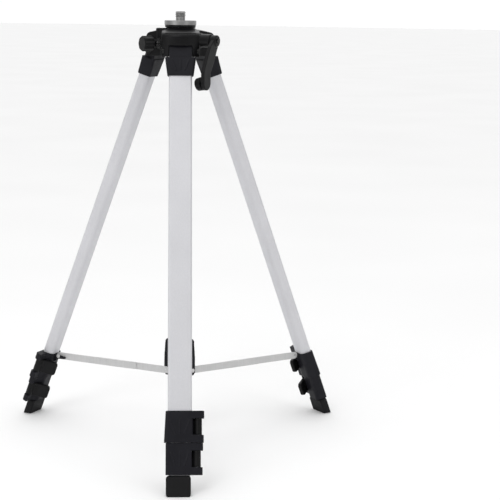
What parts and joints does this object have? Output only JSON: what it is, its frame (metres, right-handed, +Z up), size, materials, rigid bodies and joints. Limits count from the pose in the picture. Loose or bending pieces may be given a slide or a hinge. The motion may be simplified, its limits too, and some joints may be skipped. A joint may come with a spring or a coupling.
{
  "type": "elevating instrument tripod",
  "caption": "Elevating tripod for a laser level: threaded instrument stud on a cranked column, moulded head with bubble level and column lock, telescopic legs with clamp levers, folding brace.",
  "frame": {"origin": "on the floor, under the axis of the column", "axes": "+Z up along the column; the front leg points to -Y and the other two to +X and -X, 30 degrees behind the X axis"},
  "size_m": [0.5136, 0.4531, 0.6635],
  "materials": {
    "adapter_metal": "turned and brushed",
    "column_metal": "satin drawn tube",
    "steel_hardware": "bright zinc plate",
    "head_plastic": "satin black moulded plastic",
    "leg_plastic": "satin blue-black moulded plastic",
    "leg_tube": "matt silver anodised",
    "strut_metal": "matt light grey",
    "knob_plastic": "satin black moulded plastic",
    "level_fluid": "yellow-green vial liquid",
    "level_lens": "clear moulded window",
    "foot_plastic": "hard black moulded foot"
  },
  "bodies": {
    "head": {"head_shell": "head_plastic", "guide_bush": "head_plastic", "leg_pivot_bolts": "steel_hardware", "level_cup": "head_plastic", "level_fluid": "level_fluid", "level_lens": "level_lens", "centre_tube": "leg_tube", "centre_tube_plug": "head_plastic"},
    "column": {"geared_column": "column_metal", "column_collar": "head_plastic", "instrument_adapter": "adapter_metal"},
    "crank": {"crank_shaft": "steel_hardware", "crank_arm": "knob_plastic", "crank_screw": "steel_hardware", "crank_knob_pin": "steel_hardware"},
    "crank_knob": {"crank_knob": "knob_plastic"},
    "lock_knob": {"lock_pad": "knob_plastic", "lock_screw": "steel_hardware", "lock_knob": "knob_plastic"},
    "hub": {"brace_hub": "leg_plastic", "hub_rivets": "steel_hardware"},
    "leg_front": {"leg_bracket_front": "leg_plastic", "upper_tube_front": "leg_tube", "upper_collar_front": "leg_plastic", "upper_collar_pins_front": "steel_hardware"},
    "middle_front": {"middle_tube_front": "leg_tube", "lower_collar_front": "leg_plastic", "lower_lever_pin_front": "steel_hardware"},
    "lower_front": {"lower_tube_front": "leg_tube", "foot_front": "foot_plastic"},
    "upper_lever_front": {"upper_lever_front": "knob_plastic"},
    "lower_lever_front": {"lower_lever_front": "knob_plastic"},
    "strut_inner_front": {"strut_inner_front": "strut_metal"},
    "strut_outer_front": {"strut_outer_front": "strut_metal"},
    "leg_left": {"leg_bracket_left": "leg_plastic", "upper_tube_left": "leg_tube", "upper_collar_left": "leg_plastic", "upper_collar_pins_left": "steel_hardware"},
    "middle_left": {"middle_tube_left": "leg_tube", "lower_collar_left": "leg_plastic", "lower_lever_pin_left": "steel_hardware"},
    "lower_left": {"lower_tube_left": "leg_tube", "foot_left": "foot_plastic"},
    "upper_lever_left": {"upper_lever_left": "knob_plastic"},
    "lower_lever_left": {"lower_lever_left": "knob_plastic"},
    "strut_inner_left": {"strut_inner_left": "strut_metal"},
    "strut_outer_left": {"strut_outer_left": "strut_metal"},
    "leg_right": {"leg_bracket_right": "leg_plastic", "upper_tube_right": "leg_tube", "upper_collar_right": "leg_plastic", "upper_collar_pins_right": "steel_hardware"},
    "middle_right": {"middle_tube_right": "leg_tube", "lower_collar_right": "leg_plastic", "lower_lever_pin_right": "steel_hardware"},
    "lower_right": {"lower_tube_right": "leg_tube", "foot_right": "foot_plastic"},
    "upper_lever_right": {"upper_lever_right": "knob_plastic"},
    "lower_lever_right": {"lower_lever_right": "knob_plastic"},
    "strut_inner_right": {"strut_inner_right": "strut_metal"},
    "strut_outer_right": {"strut_outer_right": "strut_metal"}
  },
  "joints": [
    {"name": "column_slide", "type": "slide", "parent": "head", "child": "column", "axis": [0, 0, 1], "range_m": [0, 0.26]},
    {"name": "crank_turn", "type": "hinge", "parent": "head", "child": "crank", "pos_m": [-0.007, -0.01212, 0.621], "axis": [0.866, -0.5, 0], "range_deg": [0, 2485]},
    {"name": "crank_knob_spin", "type": "hinge", "parent": "crank", "child": "crank_knob", "pos_m": [0.03486, -0.06862, 0.56], "axis": [0.8403, -0.4851, 0.2419], "continuous": true},
    {"name": "lock_turn", "type": "hinge", "parent": "head", "child": "lock_knob", "pos_m": [-0.04763, -0.0275, 0.6156], "axis": [-0.866, -0.5, 0], "range_deg": [0, 360]},
    {"name": "hub_slide", "type": "slide", "parent": "head", "child": "hub", "axis": [0, 0, 1], "range_m": [0, 0.16648]},
    {"name": "fold_front", "type": "hinge", "parent": "head", "child": "leg_front", "pos_m": [0, -0.0405, 0.605], "axis": [1, 0, 0], "range_deg": [0, 20.5]},
    {"name": "middle_slide_front", "type": "slide", "parent": "leg_front", "child": "middle_front", "axis": [0, -0.3691, -0.9294], "range_m": [0, 0.4]},
    {"name": "lower_slide_front", "type": "slide", "parent": "middle_front", "child": "lower_front", "axis": [0, -0.3691, -0.9294], "range_m": [0, 0.4]},
    {"name": "upper_lever_turn_front", "type": "hinge", "parent": "leg_front", "child": "upper_lever_front", "pos_m": [0.026, -0.24899, 0.08977], "axis": [0, -0.3691, -0.9294], "range_deg": [0, 100]},
    {"name": "lower_lever_turn_front", "type": "hinge", "parent": "middle_front", "child": "lower_lever_front", "pos_m": [0.0244, -0.26553, 0.04814], "axis": [0, -0.3691, -0.9294], "range_deg": [0, 100]},
    {"name": "strut_inner_turn_front", "type": "hinge", "parent": "hub", "child": "strut_inner_front", "pos_m": [0, -0.0226, 0.1045], "axis": [1, 0, 0], "range_deg": [0, 85.92]},
    {"name": "strut_outer_turn_front", "type": "hinge", "parent": "leg_front", "child": "strut_outer_front", "pos_m": [0, -0.22286, 0.103], "axis": [1, 0, 0], "range_deg": [0, 65.42]},
    {"name": "fold_left", "type": "hinge", "parent": "head", "child": "leg_left", "pos_m": [-0.03507, 0.02025, 0.605], "axis": [-0.5, -0.866, 0], "range_deg": [0, 20.5]},
    {"name": "middle_slide_left", "type": "slide", "parent": "leg_left", "child": "middle_left", "axis": [-0.3196, 0.1845, -0.9294], "range_m": [0, 0.4]},
    {"name": "lower_slide_left", "type": "slide", "parent": "middle_left", "child": "lower_left", "axis": [-0.3196, 0.1845, -0.9294], "range_m": [0, 0.4]},
    {"name": "upper_lever_turn_left", "type": "hinge", "parent": "leg_left", "child": "upper_lever_left", "pos_m": [-0.22863, 0.10198, 0.08977], "axis": [-0.3196, 0.1845, -0.9294], "range_deg": [0, 100]},
    {"name": "lower_lever_turn_left", "type": "hinge", "parent": "middle_left", "child": "lower_lever_left", "pos_m": [-0.24215, 0.11163, 0.04814], "axis": [-0.3196, 0.1845, -0.9294], "range_deg": [0, 100]},
    {"name": "strut_inner_turn_left", "type": "hinge", "parent": "hub", "child": "strut_inner_left", "pos_m": [-0.01957, 0.0113, 0.1045], "axis": [-0.5, -0.866, 0], "range_deg": [0, 85.92]},
    {"name": "strut_outer_turn_left", "type": "hinge", "parent": "leg_left", "child": "strut_outer_left", "pos_m": [-0.19301, 0.11143, 0.103], "axis": [-0.5, -0.866, 0], "range_deg": [0, 65.42]},
    {"name": "fold_right", "type": "hinge", "parent": "head", "child": "leg_right", "pos_m": [0.03507, 0.02025, 0.605], "axis": [-0.5, 0.866, 0], "range_deg": [0, 20.5]},
    {"name": "middle_slide_right", "type": "slide", "parent": "leg_right", "child": "middle_right", "axis": [0.3196, 0.1845, -0.9294], "range_m": [0, 0.4]},
    {"name": "lower_slide_right", "type": "slide", "parent": "middle_right", "child": "lower_right", "axis": [0.3196, 0.1845, -0.9294], "range_m": [0, 0.4]},
    {"name": "upper_lever_turn_right", "type": "hinge", "parent": "leg_right", "child": "upper_lever_right", "pos_m": [0.20263, 0.14701, 0.08977], "axis": [0.3196, 0.1845, -0.9294], "range_deg": [0, 100]},
    {"name": "lower_lever_turn_right", "type": "hinge", "parent": "middle_right", "child": "lower_lever_right", "pos_m": [0.21775, 0.15389, 0.04814], "axis": [0.3196, 0.1845, -0.9294], "range_deg": [0, 100]},
    {"name": "strut_inner_turn_right", "type": "hinge", "parent": "hub", "child": "strut_inner_right", "pos_m": [0.01957, 0.0113, 0.1045], "axis": [-0.5, 0.866, 0], "range_deg": [0, 85.92]},
    {"name": "strut_outer_turn_right", "type": "hinge", "parent": "leg_right", "child": "strut_outer_right", "pos_m": [0.19301, 0.11143, 0.103], "axis": [-0.5, 0.866, 0], "range_deg": [0, 65.42]}
  ],
  "couplings": [
    {"joint": "crank_turn", "follows": "column_slide", "rad_per_m": 166.67},
    {"joint": "fold_left", "follows": "fold_front", "ratio": 1},
    {"joint": "fold_right", "follows": "fold_front", "ratio": 1},
    {"joint": "hub_slide", "follows": "fold_front", "m_per_rad": 0.46473},
    {"joint": "strut_inner_turn_front", "follows": "fold_front", "ratio": 4.189},
    {"joint": "strut_outer_turn_front", "follows": "fold_front", "ratio": 3.189},
    {"joint": "strut_inner_turn_left", "follows": "fold_front", "ratio": 4.189},
    {"joint": "strut_outer_turn_left", "follows": "fold_front", "ratio": 3.189},
    {"joint": "strut_inner_turn_right", "follows": "fold_front", "ratio": 4.189},
    {"joint": "strut_outer_turn_right", "follows": "fold_front", "ratio": 3.189}
  ]
}
